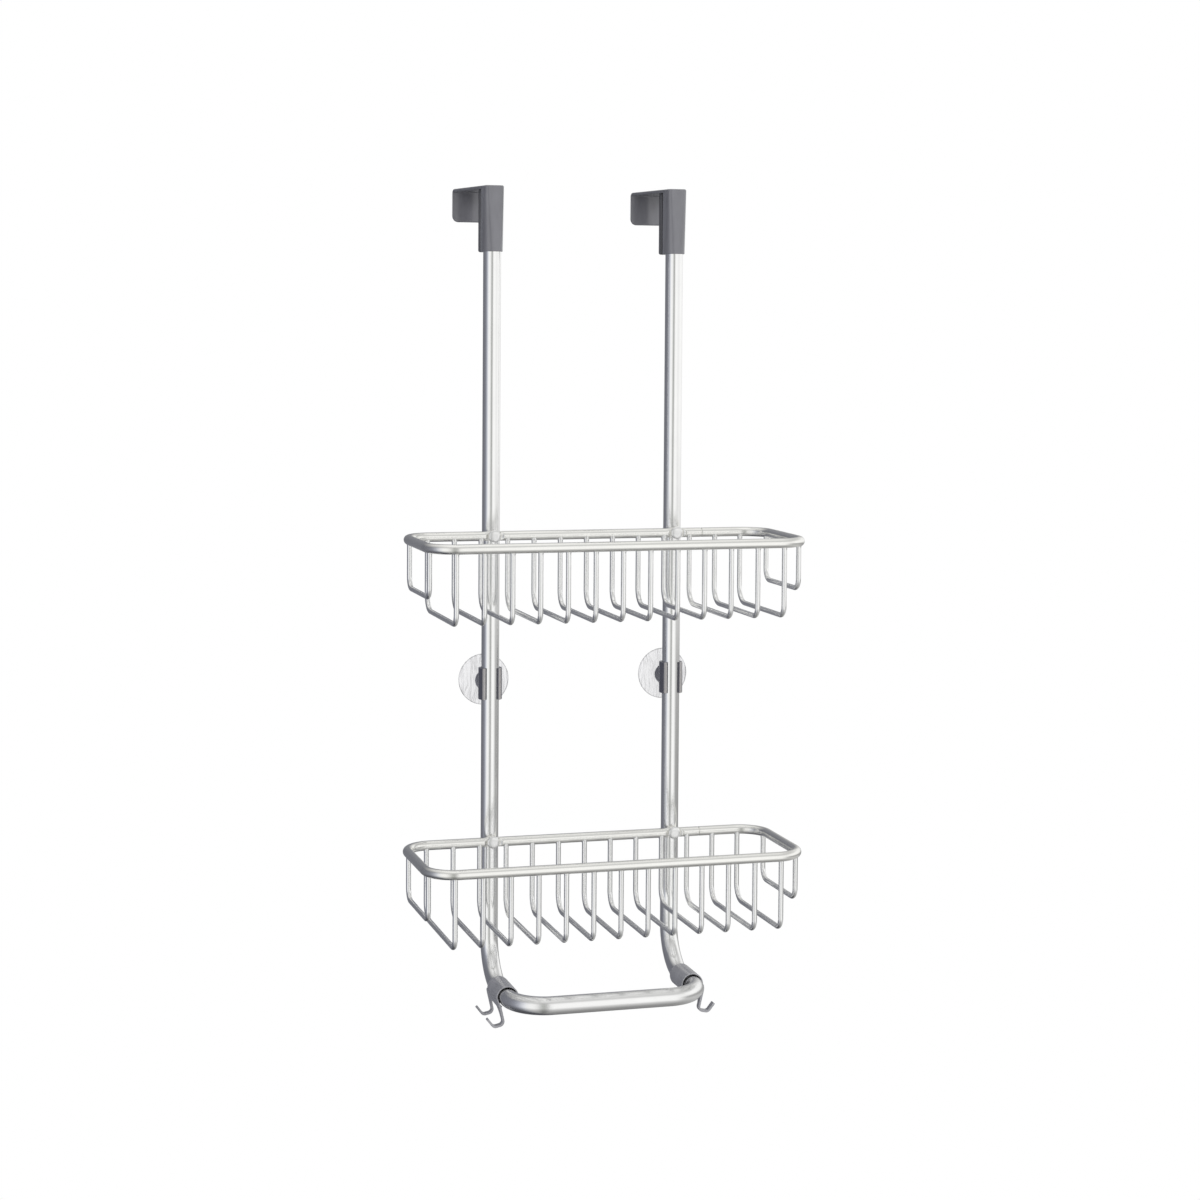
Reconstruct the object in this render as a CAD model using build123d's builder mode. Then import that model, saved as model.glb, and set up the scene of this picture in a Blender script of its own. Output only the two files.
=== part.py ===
"""Over-the-door shower caddy: a bent tube frame with a towel bar, two wire baskets, two moulded door
hooks, two clips with small hooks and two suction cups that slide on the uprights.

Millimetres, +Z up, +X to the right as seen from the room, +Y towards the door. The origin lies midway
between the door hooks, on the edge where the top of the door meets its front face.
"""

from build123d import *
import os
from math import radians, tan

# Door hooks
door_thickness = 35.0
hook_plate = 2.5
hook_leg_height = 24.0
hook_leg_width = 37.0
hook_leg_corner = 5.0
socket_depth = 49.0
socket_wall = 1.0
socket_clearance = 0.05
socket_top_corner = 3.4
socket_bottom_corner = 7.0
socket_back_corner = 3.0
socket_edge = 1.2
pad_width = 12.0
pad_thickness = 6.5
pad_edge = 1.5
pad_rib_count = 2
pad_rib_thickness = 2.0

# Tube frame
upright_spacing = 150.0
upright_standoff = 22.5
tube_d = 14.0
tube_wall = 1.0
arm_drop = 623.8
arm_bend = 35.0
bar_reach = 90.0
bar_corner = 28.0
bar_end_straight = 5.0
spigot_length = 15.0
spigot_clearance = 0.05
spigot_root = 4.0

# Baskets
upper_drop = 271.5
basket_pitch = 242.0
basket_width = 302.5
basket_depth = 111.0
rim_d = 7.5
rim_corner = 22.0
rim_seam_inset = 51.5
rim_seat_cut = 0.25
rim_flat_width = 15.0
rim_flat_thickness = 1.4
wire_d = 3.9
wire_count = 13
wire_margin = 18.8
wire_drop = 56.3
wire_inset = 1.6
wire_rear_bend = 13.0
wire_front_bend = 8.0
wire_weld = 1.0
end_wire_span = 71.5
end_wire_drop = 37.2
end_wire_rear_bend = 9.0

# Rivets
rivet_d = 4.0
rivet_clearance = 0.05
rivet_head_d = 9.6
rivet_head_height = 2.4
rivet_head_edge = 0.7
rivet_tail_d = 7.0
rivet_tail_height = 1.4

# Clips with small hooks, one on each arm
clip_clearance = 0.3
clip_wall = 1.6
clip_setback = 1.0
clip_lap = 4.0
clip_opening_angle = 32.0
clip_mouth_depth = 8.0
clip_mouth_clearance = 0.9
small_hook_overhang = 4.5
small_hook_width = 5.0
small_hook_thickness = 1.8
small_hook_bend = 3.3
small_hook_corner = 1.2
skirt_drop = 7.5
skirt_arch = 8.0
hook_shank_reach = 3.7
hook_shank_drop = 19.6
hook_bottom_reach = 11.7
hook_bottom_drop = 21.3
hook_tip_reach = 16.8
hook_tip_drop = 14.8

# Suction cups and the holders that carry them
cup_drop = 389.0
cup_d = 41.0
cup_depth = 5.0
cup_edge = 0.9
cup_edge_width = 0.8
cup_hollow = 2.4
cup_shoulder_d = 12.0
cup_crown = 0.5
stud_neck_d = 6.84
stud_head_d = 10.2
stud_head_height = 2.4
stud_head_edge = 1.2
stud_clearance = 0.08
holder_gap = 0.3
holder_lip = 1.6
holder_height = 25.0
holder_clearance = 0.08
holder_wall = 2.3
holder_mouth_angle = 39.0
holder_tip_radius = 0.9
hub_d = 16.4

# Places worked out from the sizes above
sides = {"left": -1, "right": 1}
tube_r = tube_d / 2
tube_bore_r = tube_r - tube_wall
upright_x = upright_spacing / 2
upright_y = -upright_standoff
arm_z = -arm_drop
rim_r = rim_d / 2
wire_r = wire_d / 2
rim_half_width = basket_width / 2 - rim_r
rim_back_y = upright_y - tube_r - rim_r + rim_seat_cut
rim_front_y = rim_back_y - basket_depth + rim_d
rim_mid_y = (rim_back_y + rim_front_y) / 2
rim_levels = {"upper": -upper_drop, "lower": -upper_drop - basket_pitch}
rim_flat_y = rim_back_y - rim_flat_thickness
rim_seam_x = rim_half_width - rim_seam_inset
wire_pitch = 2 * (rim_half_width - wire_margin) / (wire_count - 1)
corner_y = upright_y - bar_reach + bar_corner
joint_y = corner_y + bar_end_straight

os.makedirs("parts", exist_ok=True)


def save(part, name):
    part.label = name
    export_step(part, f"parts/{name}.step")


def bent_wire(x, rear_y, front_y, rim_z, drop, rear_bend, rim):
    """A U bent from one wire in the plane at x, its two ends fitted to the underside of the rim."""
    top_z = rim_z - wire_weld
    bottom_z = rim_z - drop
    with BuildPart() as wire:
        with BuildLine(Plane.YZ.offset(x)) as path:
            Line((rear_y, top_z), (rear_y, bottom_z + rear_bend))
            JernArc(path.line @ 1, path.line % 1, rear_bend, -90)
            Line(path.line @ 1, (front_y + wire_front_bend, bottom_z))
            JernArc(path.line @ 1, path.line % 1, wire_front_bend, -90)
            Line(path.line @ 1, (front_y, top_z))
        with BuildSketch(Plane(origin=(x, rear_y, top_z), z_dir=(0, 0, -1))):
            Circle(wire_r)
        sweep()
        add(rim, mode=Mode.SUBTRACT)
    return wire.part


# Uprights: a tube from the door hook down, bent forward into a short arm
for side, sign in sides.items():
    x = sign * upright_x
    with BuildPart() as upright:
        with BuildLine(Plane.YZ.offset(x)):
            FilletPolyline(
                (upright_y, 0),
                (upright_y, arm_z),
                (joint_y, arm_z),
                radius=arm_bend,
            )
        with BuildSketch(Plane(origin=(x, upright_y, 0), z_dir=(0, 0, -1))):
            Circle(tube_r)
            Circle(tube_bore_r, mode=Mode.SUBTRACT)
        sweep()
        for level in rim_levels.values():
            with BuildSketch(Plane(origin=(x, upright_y, level), z_dir=(0, -1, 0))):
                Circle(rivet_d / 2 + rivet_clearance)
            extrude(amount=tube_d, both=True, mode=Mode.SUBTRACT)
    save(upright.part, f"{side}_upright")

# Towel bar: one tube bent round two corners, its ends necked to plug into the arms
with BuildPart() as bar:
    bar_y = upright_y - bar_reach
    with BuildLine(Plane.XY.offset(arm_z)):
        FilletPolyline(
            (-upright_x, joint_y),
            (-upright_x, bar_y),
            (upright_x, bar_y),
            (upright_x, joint_y),
            radius=bar_corner,
        )
    with BuildSketch(Plane(origin=(-upright_x, joint_y, arm_z), z_dir=(0, -1, 0))):
        Circle(tube_r)
        Circle(tube_bore_r, mode=Mode.SUBTRACT)
    sweep()
    spigot_r = tube_bore_r - spigot_clearance
    for sign in sides.values():
        end = Plane(origin=(sign * upright_x, joint_y, arm_z), z_dir=(0, 1, 0))
        with BuildSketch(end):
            Circle(spigot_r)
            Circle(spigot_r - tube_wall, mode=Mode.SUBTRACT)
        extrude(amount=spigot_length)
        with BuildSketch(end):
            Circle(tube_bore_r + tube_wall / 2)
            Circle(spigot_r - tube_wall, mode=Mode.SUBTRACT)
        extrude(amount=-spigot_root)
save(bar.part, "towel_bar")

# Baskets: a rod rim, thirteen U wires from back to front and one U wire under each end
for level, rim_z in rim_levels.items():
    with BuildPart() as ring:
        with BuildLine(Plane.XY.offset(rim_z)) as loop:
            Line((rim_seam_x, rim_back_y), (rim_half_width - rim_corner, rim_back_y))
            JernArc(loop.line @ 1, loop.line % 1, rim_corner, -90)
            Line(loop.line @ 1, (rim_half_width, rim_front_y + rim_corner))
            JernArc(loop.line @ 1, loop.line % 1, rim_corner, -90)
            Line(loop.line @ 1, (rim_corner - rim_half_width, rim_front_y))
            JernArc(loop.line @ 1, loop.line % 1, rim_corner, -90)
            Line(loop.line @ 1, (-rim_half_width, rim_back_y - rim_corner))
            JernArc(loop.line @ 1, loop.line % 1, rim_corner, -90)
            Line(loop.line @ 1, (rim_seam_x, rim_back_y))
        with BuildSketch(Plane(origin=(rim_seam_x, rim_back_y, rim_z), z_dir=(1, 0, 0))):
            Circle(rim_r)
        sweep()

    with BuildPart() as rim:
        add(ring.part)
        for sign in sides.values():
            x = sign * upright_x
            with BuildSketch(Plane.XY.offset(rim_z)):
                with Locations((x, upright_y)):
                    Circle(tube_r)
                with Locations((x, rim_flat_y)):
                    Rectangle(rim_flat_width, rim_r, align=(Align.CENTER, Align.MAX))
            extrude(amount=rim_d, both=True, mode=Mode.SUBTRACT)
            with BuildSketch(Plane(origin=(x, rim_back_y, rim_z), z_dir=(0, -1, 0))):
                Circle(rivet_d / 2 + rivet_clearance)
            extrude(amount=rim_d, both=True, mode=Mode.SUBTRACT)
    save(rim.part, f"{level}_rim")

    rear_y = rim_back_y - wire_inset
    front_y = rim_front_y + wire_inset
    for number in range(wire_count):
        x = (number - (wire_count - 1) / 2) * wire_pitch
        wire = bent_wire(x, rear_y, front_y, rim_z, wire_drop, wire_rear_bend, ring.part)
        save(wire, f"{level}_wire_{number + 1:02d}")

    rear_y = rim_mid_y + end_wire_span / 2
    front_y = rim_mid_y - end_wire_span / 2
    for side, sign in sides.items():
        x = sign * (rim_half_width - wire_inset)
        wire = bent_wire(x, rear_y, front_y, rim_z, end_wire_drop, end_wire_rear_bend, ring.part)
        save(wire, f"{level}_{side}_end_wire")

# Rivets: a domed head on the rim's flat, a shank through rim and tube, and a formed tail behind
with BuildPart() as rivets:
    tail_y = upright_y + tube_r
    for rim_z in rim_levels.values():
        for sign in sides.values():
            axis_plane = Plane(origin=(sign * upright_x, rim_flat_y, rim_z), x_dir=(1, 0, 0), z_dir=(0, 0, 1))
            grip = tail_y - rim_flat_y
            with BuildSketch(axis_plane):
                with BuildLine():
                    Polyline(
                        (0, -rivet_head_height),
                        (0, grip + rivet_tail_height),
                        (rivet_tail_d / 2, grip + rivet_tail_height),
                        (rivet_tail_d / 2, grip),
                        (rivet_d / 2, grip),
                        (rivet_d / 2, 0),
                        (rivet_head_d / 2, 0),
                        (rivet_head_d / 2, -rivet_head_edge),
                    )
                    head_edge = (rivet_head_d / 2, -rivet_head_edge)
                    TangentArc((0, -rivet_head_height), head_edge, tangent=(1, 0))
                make_face()
            revolve(axis=Axis((sign * upright_x, 0, rim_z), (0, 1, 0)))
save(rivets.part, "basket_rivets")

# Door hooks: a socket over the tube's end, a spacer pad on the door's face, a top plate that widens
# backwards and a leg down behind the door
for side, sign in sides.items():
    x = sign * upright_x
    socket_r = tube_r + socket_clearance + socket_wall
    with BuildPart() as hook:
        for height, front_corner in (
            (hook_plate, socket_top_corner),
            (-socket_depth, socket_bottom_corner),
        ):
            with BuildSketch(Plane.XY.offset(height)) as socket_outline:
                with Locations((x, upright_y)):
                    Rectangle(2 * socket_r, 2 * socket_r)
                front, back = socket_outline.vertices().group_by(Axis.Y)
                fillet(front, front_corner)
                fillet(back, socket_back_corner)
        loft()
        fillet(hook.faces().sort_by(Axis.Z)[-1].edges(), socket_edge)
        with BuildSketch(Plane.XY):
            with BuildLine():
                Polyline(
                    (x - socket_r, upright_y),
                    (x - hook_leg_width / 2, door_thickness + hook_plate),
                    (x + hook_leg_width / 2, door_thickness + hook_plate),
                    (x + socket_r, upright_y),
                    close=True,
                )
            make_face()
        extrude(amount=hook_plate)
        with BuildSketch(Plane.XZ.offset(-door_thickness)) as leg_outline:
            with Locations((x, hook_plate)):
                Rectangle(
                    hook_leg_width, hook_leg_height + hook_plate, align=(Align.CENTER, Align.MAX)
                )
            fillet(leg_outline.vertices().group_by(Axis.Y)[0], hook_leg_corner)
        extrude(amount=-hook_plate)
        with BuildSketch(Plane.XY) as pad_outline:
            with Locations((x, 0)):
                Rectangle(pad_width, pad_thickness, align=(Align.CENTER, Align.MAX))
        extrude(amount=-socket_depth)
        pad_bottom_edges = hook.edges().filter_by(Axis.X).filter_by_position(
            Axis.Z, -socket_depth, -socket_depth
        )
        fillet(pad_bottom_edges.filter_by_position(Axis.Y, -pad_thickness, 0), pad_edge)
        for number in range(pad_rib_count):
            rib_z = -socket_depth * (number + 0.5) / pad_rib_count
            with BuildSketch(Plane.XY.offset(rib_z)):
                with Locations((x, -pad_thickness / 2)):
                    Rectangle(
                        pad_width - 2 * pad_edge,
                        upright_standoff - socket_r - pad_thickness / 2 + socket_wall / 2,
                        align=(Align.CENTER, Align.MAX),
                    )
            extrude(amount=pad_rib_thickness / 2, both=True)
        with BuildSketch(Plane.XY):
            with Locations((x, upright_y)):
                Circle(tube_r + socket_clearance)
        extrude(amount=-socket_depth, mode=Mode.SUBTRACT)
    save(hook.part, f"{side}_door_hook")

# Clips: a C-shaped sleeve round the arm, open below, with a skirt down its outer side that is cut out
# to two J hooks, one at each end
for side, sign in sides.items():
    x = sign * upright_x
    bore_r = tube_r + clip_clearance
    sleeve_r = bore_r + clip_wall
    front_y = corner_y + clip_setback
    rear_y = upright_y - arm_bend + clip_lap
    hooks_front_y = front_y - small_hook_overhang
    hooks_span = rear_y - front_y + 2 * small_hook_overhang
    outward = Axis((x, 0, 0), (sign, 0, 0))
    with BuildPart() as hooks:
        across = Plane(origin=(x, hooks_front_y, arm_z), x_dir=(sign, 0, 0), z_dir=(0, -sign, 0))
        with BuildSketch(across):
            with BuildLine():
                FilletPolyline(
                    (bore_r + small_hook_thickness / 2, 0),
                    (hook_shank_reach, -hook_shank_drop),
                    (hook_bottom_reach, -hook_bottom_drop),
                    (hook_tip_reach, -hook_tip_drop),
                    radius=small_hook_bend,
                )
            trace(line_width=small_hook_thickness)
        extrude(amount=-sign * hooks_span)
        top_corners = hooks.edges().filter_by(Axis.Y, reverse=True).group_by(Axis.Z)[-1]
        fillet(top_corners, small_hook_overhang)
        gap_centre = (hooks_front_y + hooks_span / 2, arm_z - skirt_drop)
        with BuildSketch(Plane.YZ.offset(x)) as gap:
            with Locations(gap_centre):
                gap_width = hooks_span - 2 * small_hook_width
                Rectangle(gap_width, hook_bottom_drop, align=(Align.CENTER, Align.MAX))
            fillet(gap.vertices().group_by(Axis.Y)[-1], skirt_arch)
        extrude(amount=sign * (hook_tip_reach + small_hook_thickness), mode=Mode.SUBTRACT)
        tip_edges = hooks.edges().filter_by(Axis.Y, reverse=True).group_by(outward)[-1]
        fillet(tip_edges, small_hook_corner)
    with BuildPart() as clip:
        with BuildSketch(Plane(origin=(x, front_y, arm_z), z_dir=(0, 1, 0))):
            Circle(sleeve_r)
        extrude(amount=rear_y - front_y)
        opening = 2 * sleeve_r * tan(radians(clip_opening_angle))
        with BuildSketch(Plane(origin=(x, front_y, arm_z), x_dir=(-1, 0, 0), z_dir=(0, 1, 0))):
            with BuildLine():
                Polyline((0, 0), (-opening, -2 * sleeve_r), (opening, -2 * sleeve_r), close=True)
            make_face()
        extrude(amount=rear_y - front_y, mode=Mode.SUBTRACT)
        add(hooks.part)
        with BuildSketch(Plane(origin=(x, hooks_front_y, arm_z), z_dir=(0, 1, 0))):
            Circle(bore_r)
        extrude(amount=hooks_span, mode=Mode.SUBTRACT)
        with BuildSketch(Plane(origin=(x, hooks_front_y, arm_z), z_dir=(0, 1, 0))):
            Circle(tube_r + clip_mouth_clearance)
        extrude(amount=front_y + clip_mouth_depth - hooks_front_y, mode=Mode.SUBTRACT)
    save(clip.part, f"{side}_hook_clip")

# Suction cups: a soft bell against the door, with a headed stud that turns in its holder's keyhole
stud_lip_t = cup_depth + holder_gap + holder_lip + stud_clearance
for side, sign in sides.items():
    x = sign * upright_x
    cup_r = cup_d / 2
    with BuildPart() as cup:
        with BuildSketch(Plane(origin=(x, 0, -cup_drop), x_dir=(1, 0, 0), z_dir=(0, 0, -1))):
            with BuildLine():
                Line((cup_r, 0), (cup_r, cup_edge))
                crown_r = (cup_r + cup_shoulder_d / 2) / 2
                crown_t = (cup_edge + cup_depth) / 2 + cup_crown
                ThreePointArc((cup_r, cup_edge), (crown_r, crown_t), (cup_shoulder_d / 2, cup_depth))
                Polyline(
                    (cup_shoulder_d / 2, cup_depth),
                    (stud_neck_d / 2, cup_depth),
                    (stud_neck_d / 2, stud_lip_t),
                    (stud_head_d / 2, stud_lip_t),
                    (stud_head_d / 2, stud_lip_t + stud_head_edge),
                )
                head_top = (0, stud_lip_t + stud_head_height)
                TangentArc(head_top, (stud_head_d / 2, stud_lip_t + stud_head_edge), tangent=(1, 0))
                Line(head_top, (0, cup_hollow))
                TangentArc((0, cup_hollow), (cup_r - cup_edge_width, 0), tangent=(1, 0))
                Line((cup_r - cup_edge_width, 0), (cup_r, 0))
            make_face()
        revolve(axis=Axis((x, 0, -cup_drop), (0, 1, 0)))
    save(cup.part, f"{side}_suction_cup")

# Holders: a C-shaped jaw that grips the upright and a round hub with a keyhole for the cup's stud
for side, sign in sides.items():
    x = sign * upright_x
    jaw_bore_r = tube_r + holder_clearance
    jaw_r = jaw_bore_r + holder_wall
    hub_back_y = -cup_depth - holder_gap
    hub_face = Plane(origin=(x, hub_back_y, -cup_drop), x_dir=(1, 0, 0), z_dir=(0, -1, 0))
    with BuildPart() as holder:
        with BuildSketch(Plane.XY.offset(-cup_drop)) as jaw:
            with Locations((x, upright_y)):
                Circle(jaw_r)
                Circle(jaw_bore_r, mode=Mode.SUBTRACT)
            with BuildLine():
                mouth = 2 * jaw_r * tan(radians(holder_mouth_angle))
                Polyline(
                    (x, upright_y),
                    (x - mouth, upright_y - 2 * jaw_r),
                    (x + mouth, upright_y - 2 * jaw_r),
                    close=True,
                )
            make_face(mode=Mode.SUBTRACT)
            fillet(jaw.vertices().group_by(Axis.Y)[0], holder_tip_radius)
        extrude(amount=holder_height / 2, both=True)
        with BuildSketch(hub_face):
            Circle(hub_d / 2)
        extrude(amount=hub_back_y - upright_y)
        with BuildSketch(Plane.XY.offset(-cup_drop)):
            with Locations((x, upright_y)):
                Circle(jaw_bore_r)
        extrude(amount=holder_height / 2, both=True, mode=Mode.SUBTRACT)
        neck_r = stud_neck_d / 2 + stud_clearance
        head_r = stud_head_d / 2 + stud_clearance
        chamber_depth = stud_head_height + 2 * stud_clearance
        for keyhole_r, start, depth in (
            (neck_r, 0, holder_lip),
            (head_r, holder_lip, chamber_depth),
        ):
            with BuildSketch(hub_face.offset(start)):
                Circle(keyhole_r)
                Rectangle(2 * keyhole_r, hub_d, align=(Align.CENTER, Align.MAX))
            extrude(amount=depth, mode=Mode.SUBTRACT)
    save(holder.part, f"{side}_cup_holder")
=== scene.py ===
"""Looks of an over-the-door shower caddy: drawn aluminium tube and wire with weld beads, moulded grey
plastic hooks, clips and holders, and clear soft vinyl suction cups, with a plain studio round them."""

import bmesh
import bpy
import numpy as np
from bpy.props import FloatProperty, FloatVectorProperty, PointerProperty
from mathutils import Matrix, Vector


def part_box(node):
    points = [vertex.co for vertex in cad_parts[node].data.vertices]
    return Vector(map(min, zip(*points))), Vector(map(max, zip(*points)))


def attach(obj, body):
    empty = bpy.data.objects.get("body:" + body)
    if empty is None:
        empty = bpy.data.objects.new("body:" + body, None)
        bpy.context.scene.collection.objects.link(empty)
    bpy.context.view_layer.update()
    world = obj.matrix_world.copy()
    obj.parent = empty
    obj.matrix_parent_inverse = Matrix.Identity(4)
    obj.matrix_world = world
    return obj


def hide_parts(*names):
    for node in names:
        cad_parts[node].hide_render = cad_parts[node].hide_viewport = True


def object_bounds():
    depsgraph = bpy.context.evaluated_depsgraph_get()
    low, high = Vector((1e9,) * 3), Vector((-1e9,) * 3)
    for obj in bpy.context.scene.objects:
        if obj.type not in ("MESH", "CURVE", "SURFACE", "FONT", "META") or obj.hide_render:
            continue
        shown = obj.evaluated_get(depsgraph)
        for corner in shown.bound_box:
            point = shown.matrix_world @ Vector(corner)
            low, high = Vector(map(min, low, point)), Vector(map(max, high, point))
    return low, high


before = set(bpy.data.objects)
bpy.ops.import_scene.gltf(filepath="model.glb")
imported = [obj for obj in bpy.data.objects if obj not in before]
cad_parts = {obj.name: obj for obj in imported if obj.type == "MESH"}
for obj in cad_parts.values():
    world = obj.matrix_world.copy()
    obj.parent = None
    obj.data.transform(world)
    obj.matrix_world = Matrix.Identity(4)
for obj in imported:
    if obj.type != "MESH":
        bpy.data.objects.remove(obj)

bl_info = {
    "name": "Shower caddy",
    "version": (1, 0, 0),
    "blender": (4, 5, 0),
    "location": "3D View > Sidebar > Caddy",
    "description": "Builds the visible pieces of an over-the-door shower caddy round its packed frame",
    "category": "Object",
}

FRAME_BOUNDS = [list(corner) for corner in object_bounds()]
SIDES = ("left", "right")
LEVELS = ("upper", "lower")
X_AXIS = np.array((1.0, 0.0, 0.0))
Y_AXIS = np.array((0.0, 1.0, 0.0))
Z_AXIS = np.array((0.0, 0.0, 1.0))
MM = 0.001

# Mouldings: how near two points are to be merged, up to which angle faces are one flat, from which angle an
# edge is rounded, and in how many steps. Drawn pieces: from which angle an edge shows as sharp
MERGE_DISTANCE = 0.002 * MM
FLAT_ANGLE = np.radians(0.5)
CREASE_ANGLE = np.radians(32)
ROUNDING_STEPS = 3
SHARP_ANGLE = np.radians(40)

# How finely each kind of route is stepped: along its runs and along its arcs
TUBE_STEPS = (12 * MM, 1.2 * MM)
RIM_STEPS = (1.2 * MM, 1.2 * MM)
WIRE_STEPS = (6 * MM, 0.9 * MM)
PLATE_STEPS = (4 * MM, 0.4 * MM)

# How many points go round each kind of piece
TUBE_POINTS = 64
RIM_POINTS = 40
WIRE_POINTS = 20
RIVET_POINTS = 48
CUP_POINTS = 96

# How far the close rings by a weld reach along the wire, and how many rings lie there and by a rim's seam
WELD_STRETCH = 7 * MM
WELD_RINGS = 24
GROOVE_RINGS = 12

# How far down a socket its ribs stand, as shares of the way to its foot, and how far the socket's top stays
# under the plate's, so that no two faces of a door hook share a plane
RIB_PLACES = (0.25, 0.75)
TOP_STEP = 0.02 * MM

# Where the painted highlight on a cup holder's lips fades out behind the lips' ends, and where it fades in
# outwards from the tube's axis
HIGHLIGHT_DEPTH = (1.0 * MM, 1.5 * MM)
HIGHLIGHT_OUT = (8.3 * MM, 8.7 * MM)


def new_object(name, data):
    """An object in the scene, at the origin."""
    made = bpy.data.objects.new(name, data)
    bpy.context.scene.collection.objects.link(made)
    return made


def corners(node):
    """The lowest and highest corner of a CAD node as arrays, in metres."""
    low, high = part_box(node)
    return np.array(low), np.array(high)


def upright_axis(side):
    """The place of an upright's axis in X and in Y, and its tube's radius."""
    low, high = corners(f"{side}_upright")
    radius = (high[0] - low[0]) / 2
    return high[0] - radius, high[1] - radius, radius


# ---- Sizes and colours that a user would change ----


def length(name, description, default):
    """A size in metres."""
    return FloatProperty(name=name, description=description, default=default, min=0.0, unit="LENGTH",
                         precision=5)


def colour(name, description, default):
    """A linear colour."""
    return FloatVectorProperty(name=name, description=description, default=default, size=3, min=0.0,
                               max=1.0, subtype="COLOR")


class CaddySizes(bpy.types.PropertyGroup):
    """Bends, edges and small sizes that the frame's boxes don't give."""

    tube_wall: length("Tube wall", "Wall of the upright and towel bar tube", 1.0 * MM)
    tube_edge: length("Tube edge", "Rounding of a cut tube end", 0.25 * MM)
    arm_bend: length("Arm bend", "Radius of the bend from upright to arm", 35.0 * MM)
    bar_corner: length("Bar corner", "Radius of the towel bar's two corners", 28.0 * MM)
    rim_corner: length("Rim corner", "Radius of a basket rim's corners", 22.0 * MM)
    rim_seam: length("Rim seam", "Place of the butt seam along the back rail", 96.0 * MM)
    rim_flat: length("Rim flat", "Length of the pressed flat round a rivet", 15.0 * MM)
    rim_flat_depth: length("Rim flat depth", "Distance from the rod's middle to its pressed flat", 1.4 * MM)
    rim_flat_end: length("Rim flat end", "Length over which the pressed flat runs out", 2.5 * MM)
    rim_groove: length("Rim groove", "Depth of the groove at the butt seam", 0.7 * MM)
    rim_groove_width: length("Rim groove width", "Half width of the groove at the butt seam", 0.3 * MM)
    wire_top: length("Wire top", "How far under the rod's middle a wire ends", 1.0 * MM)
    wire_rear_bend: length("Rear wire bend", "Radius at the back of a basket wire", 13.0 * MM)
    wire_front_bend: length("Front wire bend", "Radius at the front of a basket wire", 8.0 * MM)
    end_wire_rear_bend: length("End wire bend", "Radius at the back of an end wire", 9.0 * MM)
    weld_reach: length("Weld reach", "How far a weld bead runs down the wire", 0.9 * MM)
    weld_flare: length("Weld flare", "How far a weld bead stands out from the wire", 0.15 * MM)
    rivet_head: length("Rivet head", "Diameter of a rivet's domed head", 9.6 * MM)
    rivet_edge: length("Rivet head edge", "Height of the head's straight edge", 0.7 * MM)
    rivet_fullness: FloatProperty(
        name="Rivet head fullness", description="Power p of the rivet head's curve", default=2.8, min=2.0,
        max=6.0)
    rivet_shank: length("Rivet shank", "Diameter of the rivet's shank", 4.0 * MM)
    rivet_tail: length("Rivet tail", "Diameter of the formed tail behind the tube", 7.0 * MM)
    rivet_tail_edge: length("Rivet tail edge", "Chamfer of the formed tail", 0.4 * MM)
    cup_edge: length("Cup edge", "Thickness of the suction cup at its lip", 0.9 * MM)
    cup_depth: length("Cup depth", "Height of the cup's bell over the door", 5.0 * MM)
    cup_crown: length("Cup crown", "How far the bell bulges over the straight line", 0.5 * MM)
    cup_hollow: length("Cup hollow", "Height of the hollow at the cup's middle", 2.4 * MM)
    cup_seal: length("Cup seal", "Width of the ring on which the cup lies", 0.8 * MM)
    cup_chamfer: length("Cup chamfer", "Width of the chamfer round that ring", 0.3 * MM)
    cup_chamfer_height: length("Cup chamfer height", "Height of the chamfer round that ring", 0.2 * MM)
    cup_shoulder: length("Cup shoulder", "Diameter where the bell meets the stud", 12.0 * MM)
    stud_neck: length("Stud neck", "Diameter of the stud in the keyhole", 6.84 * MM)
    stud_head: length("Stud head", "Diameter of the stud's head", 10.2 * MM)
    stud_head_height: length("Stud head height", "Height of the stud's head", 2.4 * MM)
    stud_rounding: length("Stud rounding", "Rounding of the stud's head", 1.2 * MM)
    socket_top_corner: length("Socket top corner", "Front corner radius at the socket's top", 3.4 * MM)
    socket_bottom_corner: length("Socket foot corner", "Front corner radius at the socket's foot", 7.0 * MM)
    socket_back_corner: length("Socket back corner", "Radius of the socket's back corners", 3.0 * MM)
    socket_edge: length("Socket edge", "Rounding of the socket's top edge", 1.2 * MM)
    socket_lip: length("Socket lip", "Rounding of the socket's bottom edge", 0.45 * MM)
    plate_bend: length("Plate bend", "Middle radius of the bend from plate to leg", 2.2 * MM)
    plate_edge: length("Plate edge", "Rounding of the plate's and leg's long edges", 0.9 * MM)
    leg_height: length("Leg height", "Height of the leg behind the door", 24.0 * MM)
    leg_corner: length("Leg corner", "Radius of the leg's two lower corners", 5.0 * MM)
    leg_toe: length("Leg toe", "Rounding of the leg's bottom edge", 1.1 * MM)
    pad_width: length("Pad width", "Width of the spacer pad on the door", 12.0 * MM)
    pad_thickness: length("Pad thickness", "Thickness of the spacer pad", 6.5 * MM)
    pad_edge: length("Pad edge", "Rounding of the spacer pad", 1.5 * MM)
    pad_lap: length("Pad lap", "How far the pad runs up into the plate", 1.0 * MM)
    rib_thickness: length("Rib thickness", "Thickness of the ribs between pad and socket", 2.0 * MM)
    rib_edge: length("Rib edge", "Rounding of the ribs between pad and socket", 0.3 * MM)
    clip_rounding: length("Hook clip rounding", "Rounding of the hook clips' moulded edges", 0.3 * MM)
    holder_rounding: length("Cup holder rounding", "Rounding of the cup holders' moulded edges", 0.5 * MM)


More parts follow.
